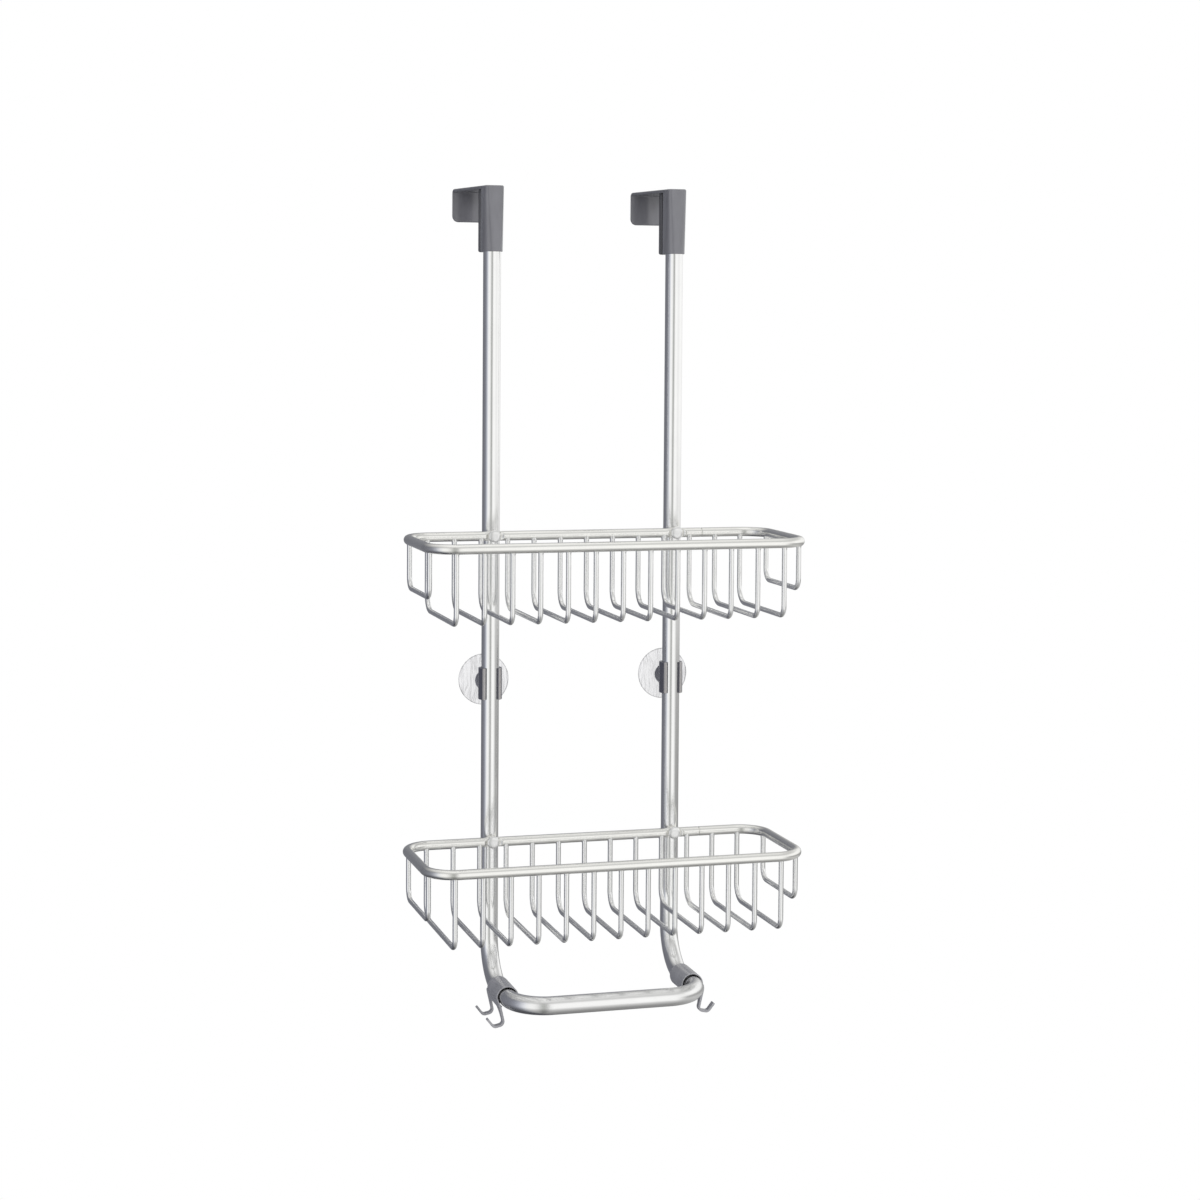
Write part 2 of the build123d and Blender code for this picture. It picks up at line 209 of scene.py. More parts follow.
class CaddyColours(bpy.types.PropertyGroup):
    """Base colours of the finishes, linear."""

    tube: colour("Tube", "Satin aluminium of the uprights and towel bar", (0.93, 0.93, 0.92))
    rim: colour("Rim", "Satin aluminium of the basket rims", (0.93, 0.925, 0.89))
    wire: colour("Wire", "Satin aluminium of the basket wires", (0.96, 0.96, 0.95))
    hook: colour("Door hooks", "Moulded grey plastic of the door hooks", (0.155, 0.155, 0.172))
    pad: colour("Door pads", "Dark plastic of the spacer pads", (0.07, 0.07, 0.078))
    clip: colour("Hook clips", "Lighter grey plastic of the hook clips", (0.36, 0.36, 0.385))
    holder: colour("Cup holders", "Darker grey plastic of the cup holders", (0.085, 0.085, 0.11))
    # The pale colour of a painted highlight on the cup holders' lips, where light glints on their front
    rubbed: colour("Rubbed lips", "Plastic of the cup holders' lips, rubbed pale", (0.40, 0.385, 0.38))
    vinyl: colour("Vinyl", "Clear soft vinyl", (0.80, 0.79, 0.84))


# ---- Surfaces ----


def unit(vector):
    """A vector of the same direction and length one."""
    return vector / np.linalg.norm(vector)


def route(points, bends, straight, curved):
    """Straight runs joined by arcs that touch both runs: a corner of turning angle t and radius r is cut
    back by r tan(t / 2), and its arc goes round a centre at distance r from both runs. The steps along
    runs and arcs are about straight and curved. Returns the places along the route, the directions there
    and the distance travelled."""
    points = [np.array(point, float) for point in points]
    bends = np.broadcast_to(bends, len(points) - 2)
    places, directions = [], []
    start = points[0]
    for before, corner, after, radius in zip(points, points[1:], points[2:], bends):
        ahead, beyond = unit(corner - before), unit(after - corner)
        turn = np.arccos(np.clip(ahead @ beyond, -1, 1))
        cut = radius * np.tan(turn / 2)
        inward = unit(beyond - ahead * (ahead @ beyond))
        end = corner - ahead * cut
        count = max(2, int(np.linalg.norm(end - start) / straight))
        share = np.linspace(0, 1, count, endpoint=False)[:, None]
        places.append(start + (end - start) * share)
        directions.append(np.broadcast_to(ahead, (count, 3)))
        count = max(6, int(radius * turn / curved))
        angle = np.linspace(0, turn, count, endpoint=False)[:, None]
        places.append(end + inward * radius * (1 - np.cos(angle)) + ahead * radius * np.sin(angle))
        directions.append(ahead * np.cos(angle) + inward * np.sin(angle))
        start = corner + beyond * cut
    ahead = unit(points[-1] - start)
    count = max(3, int(np.linalg.norm(points[-1] - start) / straight) + 1)
    places.append(start + (points[-1] - start) * np.linspace(0, 1, count)[:, None])
    directions.append(np.broadcast_to(ahead, (count, 3)))
    places, directions = np.concatenate(places), np.concatenate(directions)
    travelled = np.concatenate(((0.0,), np.cumsum(np.linalg.norm(np.diff(places, axis=0), axis=1))))
    return places, directions, travelled


def filled_in(places, directions, travelled, extra):
    """A route with more places on it, at the distances in extra, by straight-line interpolation."""
    wanted = np.union1d(travelled, extra)
    places, directions = (np.stack([np.interp(wanted, travelled, column) for column in grid.T], axis=1)
                          for grid in (places, directions))
    return places, directions / np.linalg.norm(directions, axis=1, keepdims=True), wanted


def finer_ends(way, distances):
    """A route with more places on it, at distances from its start and the same from its end."""
    whole = way[2][-1]
    return filled_in(*way, np.concatenate((distances, whole - distances)))


def circle(radius, count):
    """Points at equal angles round a circle, one row per radius given."""
    angle = np.linspace(0, 2 * np.pi, count, endpoint=False)
    return np.asarray(radius)[..., None, None] * np.stack((np.cos(angle), np.sin(angle)), axis=1)


def rounded_rectangle(width, height, radii, per_corner=8):
    """Outlines of rectangles with quarter-circle corners, one row per width and height: each corner's
    centre plus its radius times the cosine and sine of an angle that runs through that quarter. radii
    holds a number for every row or four per row, from the corner at +u +v round to +u -v."""
    width, height = np.broadcast_arrays(np.atleast_1d(width)[:, None], np.atleast_1d(height)[:, None])
    radii = np.repeat(np.broadcast_to(radii, (len(width), 4)), per_corner, axis=1)
    angle = (np.linspace(0, np.pi / 2, per_corner) + np.arange(4)[:, None] * np.pi / 2).ravel()
    u = np.repeat((1, -1, -1, 1), per_corner) * (width / 2 - radii) + radii * np.cos(angle)
    v = np.repeat((1, 1, -1, -1), per_corner) * (height / 2 - radii) + radii * np.sin(angle)
    return np.stack((u, v), axis=-1)


def stacked(centre, heights, outlines):
    """Outlines in X and Y laid at their heights over a centre."""
    heights = np.broadcast_to(np.asarray(heights)[:, None, None], outlines.shape[:2] + (1,))
    return centre + np.concatenate((outlines, heights), axis=-1)


def carried(places, directions, side, profile):
    """A profile carried along a flat path: its first number is measured along side, the normal of the
    path's plane, and its second along direction x side."""
    upward = np.cross(directions, side)
    profile = np.broadcast_to(profile, (len(places),) + profile.shape[-2:])
    return places[:, None] + profile[..., :1] * side + profile[..., 1:] * upward[:, None]


def turned(centre, axis, across, heights, radii, count):
    """A profile of heights and radii turned once about an axis through centre."""
    angle = np.linspace(0, 2 * np.pi, count, endpoint=False)[:, None]
    spoke = across * np.cos(angle) + np.cross(axis, across) * np.sin(angle)
    heights, radii = np.asarray(heights), np.asarray(radii)
    return centre + axis * heights[:, None, None] + radii[:, None, None] * spoke


def rounded_end(distance, edge):
    """How far an outline draws in at a distance from its end, so that the edge is a quarter circle."""
    return edge - np.sqrt(np.clip(edge**2 - np.clip(edge - distance, 0, edge) ** 2, 0, None))


def grid_faces(rows, columns, looped):
    """Quads between neighbouring rings of points, each ring's last point joined to its first. looped joins
    the last ring to the first. Returns the faces and each corner's row and column."""
    row = np.arange(rows if looped else rows - 1)[:, None]
    column = np.arange(columns)[None, :]
    row, column = (grid.ravel() for grid in np.broadcast_arrays(row, column))
    corner_rows = np.stack((row, row, row + 1, row + 1), axis=1)
    corner_columns = np.stack((column, column + 1, column + 1, column), axis=1)
    return corner_rows % rows * columns + corner_columns % columns, corner_rows, corner_columns


def ladder_faces(first, columns):
    """Quads across a ring from one half to the other, which close an end of the surface."""
    near = np.arange(columns // 2 - 1)
    far = columns - 1 - near
    return first + np.stack((near, near + 1, far - 1, far), axis=1)


class Shell:
    """Collects surfaces and makes them one mesh object with a UV map in metres."""

    def __init__(self):
        self.points, self.faces, self.uvs, self.slots = [], [], [], []
        self.count = 0

    def add(self, rings, looped=False, slot=0):
        """Adds rings of points (rows, columns, 3) in a material slot. Rings that aren't looped have both
        ends shut. The map's first axis is the distance round a ring, and its second the distance along
        them. Where the faces enclose a negative volume, they are turned round."""
        rows, columns = rings.shape[:2]
        flat = rings.reshape(-1, 3)
        faces, corner_rows, corner_columns = grid_faces(rows, columns, looped)
        around = np.linalg.norm(np.diff(rings, axis=1, append=rings[:, :1]), axis=2).sum(axis=1).mean()
        middle = rings.mean(axis=1)
        along = np.concatenate(((0.0,), np.cumsum(np.linalg.norm(np.diff(middle, axis=0), axis=1))))
        along = np.append(along, along[-1] + np.linalg.norm(middle[-1] - middle[0]))
        uv = np.stack((corner_columns * around / columns, along[corner_rows]), axis=-1)
        if not looped:
            first, last = ladder_faces(0, columns), ladder_faces((rows - 1) * columns, columns)
            caps = np.concatenate((first, last[:, ::-1]))
            x, y, z = np.moveaxis(flat[caps], -1, 0)
            faces = np.concatenate((faces, caps))
            uv = np.concatenate((uv, np.stack((x + y, z + y), axis=-1)))
        a, b, c, d = (flat[faces[:, k]] for k in range(4))
        volume = (np.cross(b, c) * a).sum() + (np.cross(c, d) * a).sum()
        if volume < 0:
            faces, uv = faces[:, ::-1], uv[:, ::-1]
        self.points.append(flat)
        self.faces.append(faces + self.count)
        self.uvs.append(uv)
        self.slots.append(np.full(len(faces), slot))
        self.count += len(flat)
        return self

    def piece(self, name, materials, body, nodes):
        """Makes the object, smooth but for sharp edges, lets it ride a body and replace the CAD nodes."""
        points, faces, uvs = (np.concatenate(part) for part in (self.points, self.faces, self.uvs))
        mesh = bpy.data.meshes.new(name)
        mesh.vertices.add(len(points))
        mesh.vertices.foreach_set("co", points.ravel())
        mesh.loops.add(faces.size)
        mesh.loops.foreach_set("vertex_index", faces.ravel())
        mesh.polygons.add(len(faces))
        mesh.polygons.foreach_set("loop_start", np.arange(len(faces)) * 4)
        mesh.polygons.foreach_set("use_smooth", np.ones(len(faces), bool))
        mesh.polygons.foreach_set("material_index", np.concatenate(self.slots))
        mesh.uv_layers.new(name="Surface").data.foreach_set("uv", uvs.ravel())
        mesh.update(calc_edges=True)
        mesh.validate()
        mesh.set_sharp_from_angle(angle=SHARP_ANGLE)
        for material in materials:
            mesh.materials.append(material)
        piece = new_object(name, mesh)
        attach(piece, body)
        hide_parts(*nodes)


# ---- Materials ----


class Value:
    """One output socket of a node, with arithmetic that adds Math nodes."""

    def __init__(self, tree, socket):
        self.tree, self.socket = tree, socket

    def math(self, operation, other=None, swapped=False):
        """Adds a Math node on this value and another, or on the other first where they are swapped."""
        node = self.tree.nodes.new("ShaderNodeMath")
        node.operation = operation
        first, second = node.inputs[:2][::-1 if swapped else 1]
        put(self.tree, first, self)
        if other is not None:
            put(self.tree, second, other)
        return Value(self.tree, node.outputs[0])

    def __add__(self, other):
        return self.math("ADD", other)

    def __sub__(self, other):
        return self.math("SUBTRACT", other)

    def __mul__(self, other):
        return self.math("MULTIPLY", other)

    def __truediv__(self, other):
        return self.math("DIVIDE", other)

    def __pow__(self, other):
        return self.math("POWER", other)

    def __rsub__(self, other):
        return self.math("SUBTRACT", other, swapped=True)

    __radd__ = __add__
    __rmul__ = __mul__


def put(tree, slot, value):
    """Links a Value to an input, or sets the input to a plain number, vector or colour."""
    if isinstance(value, Value):
        tree.links.new(value.socket, slot)
    else:
        slot.default_value = value


def opaque(rgb):
    """A colour with full cover."""
    return (*rgb, 1.0)


def set_stops(elements, stops):
    """Gives a Color Ramp its stops, pairs of place and grey or colour."""
    while len(elements) < len(stops):
        elements.new(1.0)
    for element, (place, shade) in zip(elements, stops):
        element.position = place
        element.color = opaque(shade if isinstance(shade, tuple) else (shade, shade, shade))


class Graph:
    """The node tree of a material or the world, written as calls."""

    def __init__(self, owner):
        owner.use_nodes = True
        self.owner, self.tree = owner, owner.node_tree
        self.tree.nodes.clear()

    def node(self, kind, settings=None, inputs=None, output=0):
        """Adds a node of a type, sets its settings first and then its inputs, and returns one output. A
        Color Ramp's settings are its interpolation and its stops, pairs of place and grey or colour."""
        node = self.tree.nodes.new("ShaderNode" + kind)
        owner = node.color_ramp if kind == "ValToRGB" else node
        for name, value in (settings or {}).items():
            if name == "stops":
                set_stops(owner.elements, value)
            else:
                setattr(owner, name, value)
        for name, value in (inputs or {}).items():
            put(self.tree, node.inputs[name], value)
        return Value(self.tree, node.outputs[output]) if node.outputs else node

    def coordinates(self):
        """The object coordinates, in metres."""
        return self.node("TexCoord", output="Object")

    def ramp(self, factor, stops, interpolation="EASE", low=0.0, high=1.0):
        """A Color Ramp's result at a factor, with its stops between low and high."""
        if (low, high) != (0.0, 1.0):
            factor = (factor - low) / (high - low)
            stops = [((place - low) / (high - low), shade) for place, shade in stops]
        return self.node("ValToRGB", {"interpolation": interpolation, "stops": stops}, {0: factor})

    def blend(self, factor, first, second, way="MIX"):
        """Mixes two colours. A Mix node has them in its inputs 6 and 7, and the result in its output 2."""
        return self.node("Mix", {"data_type": "RGBA", "blend_type": way}, {0: factor, 6: first, 7: second},
                         output=2)

    def noise(self, vector, scale, detail=2.0, roughness=0.5):
        """A noise pattern's value at a vector."""
        return self.node("TexNoise", {}, {"Vector": vector, "Scale": scale, "Detail": detail,
                                          "Roughness": roughness})

    def stretched(self, vector, scale):
        """A vector with each of its axes scaled by its own number."""
        return self.node("VectorMath", {"operation": "MULTIPLY"}, {0: vector, 1: scale})

    def dot(self, vector, direction):
        """How far a vector reaches along a direction."""
        return self.node("VectorMath", {"operation": "DOT_PRODUCT"}, {0: vector, 1: direction},
                         output="Value")

    def surface(self, shader):
        """Makes a shader the surface of the material, and returns the material."""
        self.node("OutputMaterial", {}, {"Surface": shader})
        return self.owner


def satin_aluminium(name, rgb, roughness):
    """Drawn and anodised aluminium: fine lines along the draw, faint cloudiness of the anodised layer and
    a few handling smudges in the roughness. The lines follow the piece's own map."""
    graph = Graph(bpy.data.materials.new(name))
    along = graph.stretched(graph.node("UVMap", {"uv_map": "Surface"}), (9000.0, 60.0, 1.0))
    place = graph.coordinates()
    lines = graph.noise(along, scale=1.0, detail=3.0, roughness=0.6)
    cloud = graph.noise(place, scale=38.0, detail=3.0, roughness=0.55)
    smudge = graph.noise(place, scale=11.0, detail=4.0, roughness=0.6)
    grain = graph.noise(place, scale=5200.0, detail=1.0)
    duller = tuple(0.95 * share for share in rgb)
    tone = graph.ramp(lines * 0.45 + cloud * 0.55, ((0.3, duller), (0.7, tuple(rgb))))
    rough = roughness + (lines - 0.5) * 0.06 + (smudge - 0.5) * 0.08
    bump = graph.node("Bump", {}, {
        "Strength": 0.06, "Distance": 0.04 * MM, "Height": lines * 0.7 + grain * 0.3})
    return graph.surface(graph.node("BsdfPrincipled", {}, {
        "Base Color": tone, "Metallic": 1.0, "Roughness": rough, "Normal": bump}))


def moulded_plastic(name, rgb, rubbed=None):
    """Injection-moulded plastic with a soft gloss: spark-eroded grain, faint flow clouds and worn
    patches that shine a little more. rubbed, where it is given, is a function that masks
    the places where a pale highlight is painted into the colour."""
    graph = Graph(bpy.data.materials.new(name))
    place = graph.coordinates()
    grain = graph.noise(place, scale=2600.0, detail=2.0, roughness=0.6)
    flow = graph.noise(graph.stretched(place, (60.0, 60.0, 22.0)), scale=1.0, detail=3.0, roughness=0.6)
    shine = graph.noise(place, scale=95.0, detail=4.0, roughness=0.65)
    darker, lighter = (tuple(gain * share for share in rgb) for gain in (0.86, 1.1))
    tone = graph.ramp(flow, ((0.3, darker), (0.7, lighter)))
    if rubbed:
        # Paints a pale highlight into the colour at the masked places
        tone = graph.blend(rubbed(graph, place), tone, opaque(chosen_colour("rubbed")))
    rough = 0.24 + (grain - 0.5) * 0.08 - (shine - 0.5) * 0.12
    bump = graph.node("Bump", {}, {"Strength": 0.18, "Distance": 0.08 * MM, "Height": grain})
    return graph.surface(graph.node("BsdfPrincipled", {}, {
        "Base Color": tone, "Roughness": rough, "Normal": bump, "IOR": 1.5, "Coat Weight": 0.7,
        "Coat Roughness": 0.09}))


def lip_highlight_mask(graph, place):
    """One on the outer side of the cup holders' lips, which snap over the tube, where a pale highlight is
    painted, and nought elsewhere. The mask goes by the depth from the lips backwards and by the distance
    from the tube's axis, and the coordinates are folded so that one pattern serves both holders."""
    axis_x, axis_y = upright_axis("right")[:2]
    lips = corners("right_cup_holder")[0][1]
    x, y = (graph.node("SeparateXYZ", {}, {0: place}, output=name) for name in ("X", "Y"))
    across, backwards = x.math("ABSOLUTE") - axis_x, y - axis_y
    out = (across * across + backwards * backwards) ** 0.5
    front = graph.ramp(y - lips, ((HIGHLIGHT_DEPTH[0], 1.0), (HIGHLIGHT_DEPTH[1], 0.0)), high=4 * MM)
    outer = graph.ramp(out, ((HIGHLIGHT_OUT[0], 0.0), (HIGHLIGHT_OUT[1], 1.0)), high=16 * MM)
    return front * outer


def clear_vinyl(name, rgb):
    """Clear soft vinyl: half see-through and milky, with wavy darker streaks down the disc and a darker
    line with a few specks along the lip. The distance from the disc's middle comes from the object
    coordinates, folded so that one pattern serves both cups."""
    graph = Graph(bpy.data.materials.new(name))
    low, high = corners("right_suction_cup")
    middle, radius = (low + high) / 2, (high[0] - low[0]) / 2
    place = graph.coordinates()
    x, z = (graph.node("SeparateXYZ", {}, {0: place}, output=name) for name in ("X", "Z"))
    across, upwards = x.math("ABSOLUTE") - middle[0], z - middle[2]
    out = (across * across + upwards * upwards) ** 0.5 / radius
    wander = graph.noise(graph.stretched(place, (120.0, 120.0, 90.0)), scale=1.0, detail=1.0)
    bend = graph.node("CombineXYZ", {}, {"X": (wander - 0.5) * (4 * MM)})
    bent = graph.node("VectorMath", {"operation": "ADD"}, {0: place, 1: bend})
    streak = graph.noise(graph.stretched(bent, (400.0, 90.0, 20.0)), scale=1.0, detail=2.0)
    line = graph.ramp(streak, ((0.44, 0.0), (0.50, 1.0), (0.56, 0.0)))
    fleck = graph.noise(place, scale=700.0, detail=2.0, roughness=0.7)
    lip = graph.ramp(out, ((0.955, 0.0), (0.985, 1.0)))
    speck = graph.ramp(graph.noise(place, scale=240.0, detail=1.0), ((0.58, 0.0), (0.66, 1.0)))
    mark = (line * 0.7 + lip * (0.45 + speck * 0.55)).math("MINIMUM", 1.0)
    tone = graph.blend(mark, opaque(rgb), opaque(0.28 * share for share in rgb))
    alpha = 0.16 + line * 0.16 + lip * 0.22 + (fleck - 0.5) * 0.10
    rough = 0.2 + (fleck - 0.5) * 0.1
    bump = graph.node("Bump", {}, {"Strength": 0.15, "Distance": 0.4 * MM, "Height": streak})
    graph.owner.surface_render_method = "BLENDED"
    return graph.surface(graph.node("BsdfPrincipled", {}, {
        "Base Color": tone, "Roughness": rough, "Alpha": alpha, "Normal": bump, "IOR": 1.52}))


def finish(name, make, *values):
    """A material by its name, made the first time that it is asked for."""
    return bpy.data.materials.get(name) or make(name, *values)


# The metal finishes, each with the colour that it takes and its roughness
METALS = {
    "satin tube": ("tube", 0.17),
    "satin bar": ("tube", 0.23),
    "satin rim": ("rim", 0.22),
    "satin wire": ("wire", 0.20),
    "rivet metal": ("tube", 0.30),
}


def chosen_colour(part):
    """The colour that the user has chosen for a part."""
    return getattr(bpy.context.scene.caddy_colours, part)


def metal_finish(name):
    """One of the metal finishes."""
    part, roughness = METALS[name]
    return finish(name, satin_aluminium, chosen_colour(part), roughness)


def plastic_finish(part, rubbed=None):
    """The moulded plastic of a part, in its colour."""
    return finish(f"{part} plastic", moulded_plastic, chosen_colour(part), rubbed)


def vinyl_finish():
    """The vinyl of the suction cups."""
    return finish("clear vinyl", clear_vinyl, chosen_colour("vinyl"))


# ---- Pieces ----


def open_tube(points, bend, side, radius):
    """An open tube along a route: its outer wall, a quarter-round lip at each cut end and its inner wall,
    as one closed run of rings. Circles of the tube's radius are carried along the route."""
    sizes = bpy.context.scene.caddy_sizes
    lips = sizes.tube_edge * (1 - np.cos(np.linspace(0, np.pi / 2, 5)))
    places, directions, travelled = finer_ends(route(points, bend, *TUBE_STEPS), lips)
    drawn_in = rounded_end(np.minimum(travelled, travelled[-1] - travelled), sizes.tube_edge)
    outer = carried(places, directions, side, circle(radius - drawn_in, TUBE_POINTS))
    inner = carried(places, directions, side, circle(radius - sizes.tube_wall + drawn_in, TUBE_POINTS))
    return Shell().add(np.concatenate((outer, inner[::-1])), looped=True)


class CADDY_OT_uprights(bpy.types.Operator):
    """Make both uprights: a tube straight down from the door hook and bent forward into an arm"""

    bl_idname = "caddy.uprights"
    bl_label = "Uprights"

    def execute(self, context):
        for side in SIDES:
            low, high = corners(f"{side}_upright")
            x, y, radius = upright_axis(side)
            z = low[2] + radius
            points = [(x, y, high[2]), (x, y, z), (x, low[1], z)]
            shell = open_tube(points, context.scene.caddy_sizes.arm_bend, X_AXIS, radius)
            shell.piece(f"{side}_upright_tube", [metal_finish("satin tube")], "frame", [f"{side}_upright"])
        return {"FINISHED"}


class CADDY_OT_towel_bar(bpy.types.Operator):
    """Make the towel bar: a tube from one arm's end round two corners to the other"""

    bl_idname = "caddy.towel_bar"
    bl_label = "Towel bar"

    def execute(self, context):
        low, high = corners("towel_bar")
        joint = corners("left_upright")[0][1]
        radius = (high[2] - low[2]) / 2
        left, right, y, z = low[0] + radius, high[0] - radius, low[1] + radius, low[2] + radius
        points = [(left, joint, z), (left, y, z), (right, y, z), (right, joint, z)]
        shell = open_tube(points, context.scene.caddy_sizes.bar_corner, Z_AXIS, radius)
        shell.piece("towel_bar_tube", [metal_finish("satin bar")], "frame", ["towel_bar"])
        return {"FINISHED"}


class CADDY_OT_rims(bpy.types.Operator):
    """Make the basket rims: a rod bent to a ring, butt welded at the back, hollowed where it seats on the
    uprights and pressed flat under each rivet"""

    bl_idname = "caddy.rims"
    bl_label = "Basket rims"

    def execute(self, context):
        """Circles are carried round the ring. Near the seam their radius is smaller by the groove's depth
        times the exponential of minus the squared distance over the groove's width."""
        sizes = context.scene.caddy_sizes
        for level in LEVELS:
            low, high = corners(f"{level}_rim")
            radius = (high[2] - low[2]) / 2
            left, right, front, back = low[0] + radius, high[0] - radius, low[1] + radius, high[1] - radius
            z = low[2] + radius
            loop = [(sizes.rim_seam, back, z), (right, back, z), (right, front, z), (left, front, z),
                    (left, back, z), (sizes.rim_seam, back, z)]
            groove = np.linspace(0, 5 * sizes.rim_groove_width, GROOVE_RINGS)
            places, directions, travelled = finer_ends(route(loop, sizes.rim_corner, *RIM_STEPS), groove)
            from_seam = np.minimum(travelled, travelled[-1] - travelled)
            radii = radius - sizes.rim_groove * np.exp(-((from_seam / sizes.rim_groove_width) ** 2))
            rings = carried(places, directions, Z_AXIS, circle(radii, RIM_POINTS))[:-1]
            for side in SIDES:
                self.press(rings, side, back, radius, sizes)
            Shell().add(rings, looped=True).piece(
                f"{level}_rim_rod", [metal_finish("satin rim")], "frame", [f"{level}_rim"])
        return {"FINISHED"}

    def press(self, rings, side, back, radius, sizes):
        """Moves the back rail's points: no further forward than the flat, which runs out at its ends along
        a cosine, and no further back than the upright's surface, the circle about its axis."""
        axis_x, axis_y, tube = upright_axis(side)
        off = np.abs(rings[..., 0] - axis_x)
        y = rings[..., 1]
        rail = (off < sizes.rim_flat / 2) & (y > back - 1.5 * radius)
        run_out = np.clip((off - sizes.rim_flat / 2 + sizes.rim_flat_end) / sizes.rim_flat_end, 0, 1)
        rise = 0.5 - 0.5 * np.cos(np.pi * run_out)
        depth = sizes.rim_flat_depth + (radius - sizes.rim_flat_depth) * rise
        y[rail] = np.maximum(y, back - depth)[rail]
        seat = axis_y - np.sqrt(np.clip(tube**2 - off**2, 0, None))
        touching = rail & (off < tube)
        y[touching] = np.minimum(y, seat)[touching]


def basket_wire(node, level, rear_bend):
    """A rod bent to a U and welded up under the rim. Below the rim its radius is larger by the weld's flare
    times the exponential of minus the squared distance over the weld's reach, and inside the rim it
    goes evenly back to the rod's own."""
    sizes = bpy.context.scene.caddy_sizes
    low, high = corners(node)
    rim_low, rim_high = corners(f"{level}_rim")
    radius = (high[0] - low[0]) / 2
    x, rear, front, bottom = low[0] + radius, high[1] - radius, low[1] + radius, low[2] + radius
    top = (rim_low[2] + rim_high[2]) / 2 - sizes.wire_top
    points = [(x, rear, top), (x, rear, bottom), (x, front, bottom), (x, front, top)]
    places, directions, travelled = finer_ends(
        route(points, (rear_bend, sizes.wire_front_bend), *WIRE_STEPS),
        np.linspace(0, WELD_STRETCH, WELD_RINGS))
    from_end = np.minimum(travelled, travelled[-1] - travelled)
    contact = top - rim_low[2]
    below = np.clip(from_end - contact, 0, None)
    radii = radius + sizes.weld_flare * np.exp(-((below / sizes.weld_reach) ** 2))
    radii -= sizes.weld_flare * np.clip(1 - from_end / contact, 0, 1)
    Shell().add(carried(places, directions, X_AXIS, circle(radii, WIRE_POINTS))).piece(
        f"{node}_rod", [metal_finish("satin wire")], "frame", [node])


class CADDY_OT_wires(bpy.types.Operator):
    """Make the basket wires: thirteen in each basket from back to front, and one more under each end"""

    bl_idname = "caddy.wires"
    bl_label = "Basket wires"

    def execute(self, context):
        sizes = context.scene.caddy_sizes
        for node in sorted(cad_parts):
            level = node.split("_")[0]
            if "end_wire" in node:
                basket_wire(node, level, sizes.end_wire_rear_bend)
            elif "_wire_" in node:
                basket_wire(node, level, sizes.wire_rear_bend)
        return {"FINISHED"}


class CADDY_OT_rivets(bpy.types.Operator):
    """Make the four rivets: a flat-topped dome on the rim's flat, a shank and a formed tail behind"""

    bl_idname = "caddy.rivets"
    bl_label = "Rivets"

    def execute(self, context):
        """The head is a superellipse: the share of its half width to the power p and the share of its
        height to the power p add up to one. Its straight edge draws in a little at the foot."""
        sizes = context.scene.caddy_sizes
        low, high = corners("basket_rivets")
        rim_low, rim_high = corners("upper_rim")
        rod = (rim_high[2] - rim_low[2]) / 2
        flat = rim_high[1] - rod - sizes.rim_flat_depth
        tail = corners("left_upright")[1][1]
        head, dome = sizes.rivet_head / 2, flat - low[1] - sizes.rivet_edge
        foot, foot_radius = flat - 0.3 * sizes.rivet_edge, 0.97 * head
        angles = np.linspace(0, np.pi / 2, 18)
        out = head * np.sin(angles) ** (2 / sizes.rivet_fullness)
        heights = np.concatenate((
            low[1] + dome * (1 - np.cos(angles) ** (2 / sizes.rivet_fullness)),
            (foot, flat, flat, tail, tail, high[1] - sizes.rivet_tail_edge, high[1], high[1])))
        shank, end = sizes.rivet_shank / 2, sizes.rivet_tail / 2
        radii = np.concatenate((
            out, (head, foot_radius, shank, shank, end, end, end - sizes.rivet_tail_edge, 0)))
        shell = Shell()
        for level in LEVELS:
            level_low, level_high = corners(f"{level}_rim")
            for side in SIDES:
                centre = np.array((upright_axis(side)[0], 0, (level_low[2] + level_high[2]) / 2))
                shell.add(turned(centre, Y_AXIS, X_AXIS, heights, radii, RIVET_POINTS))
        shell.piece("rivets_drawn", [metal_finish("rivet metal")], "frame", ["basket_rivets"])
        return {"FINISHED"}


class CADDY_OT_cups(bpy.types.Operator):
    """Make the suction cups: a soft bell with a thin lip, a hollow face and a stud for the keyhole"""

    bl_idname = "caddy.cups"
    bl_label = "Suction cups"

    def execute(self, context):
        """The bell's back goes from lip to shoulder along a straight line plus the crown times the sine of
        pi times the share gone, and its hollow is a quarter of a cosine."""
        sizes = context.scene.caddy_sizes
        for side in SIDES:
            low, high = corners(f"{side}_suction_cup")
            radius = (high[0] - low[0]) / 2
            centre = (low + high) / 2
            centre[1] = high[1]
            share = np.linspace(0, 1, 24)
            inner = radius - sizes.cup_seal
            shoulder, neck, head = sizes.cup_shoulder / 2, sizes.stud_neck / 2, sizes.stud_head / 2
            top = high[1] - low[1]
            lip = top - sizes.stud_head_height
            bell_radii = radius + (shoulder - radius) * share
            bell = sizes.cup_edge + (sizes.cup_depth - sizes.cup_edge) * share
            bell += sizes.cup_crown * np.sin(np.pi * share)
            hollow_radii = inner * (1 - share)
            hollow = sizes.cup_hollow * np.cos(np.pi / 2 * hollow_radii / inner)
            quarter = np.linspace(0, np.pi / 2, 6)
            radii = np.concatenate((
                (0,), head - sizes.stud_rounding * (1 - np.sin(quarter)), (head, neck, neck, shoulder),
                bell_radii[::-1], (radius, radius - sizes.cup_chamfer), hollow_radii))
            heights = np.concatenate((
                (top,), top - sizes.stud_rounding * (1 - np.cos(quarter)),
                (lip, lip, sizes.cup_depth, sizes.cup_depth), bell[::-1],
                (sizes.cup_chamfer_height, 0), hollow))
            shell = Shell().add(turned(centre, -Y_AXIS, X_AXIS, heights, radii, CUP_POINTS))
            shell.piece(f"{side}_cup_bell", [vinyl_finish()], f"{side}_cup", [f"{side}_suction_cup"])
        return {"FINISHED"}


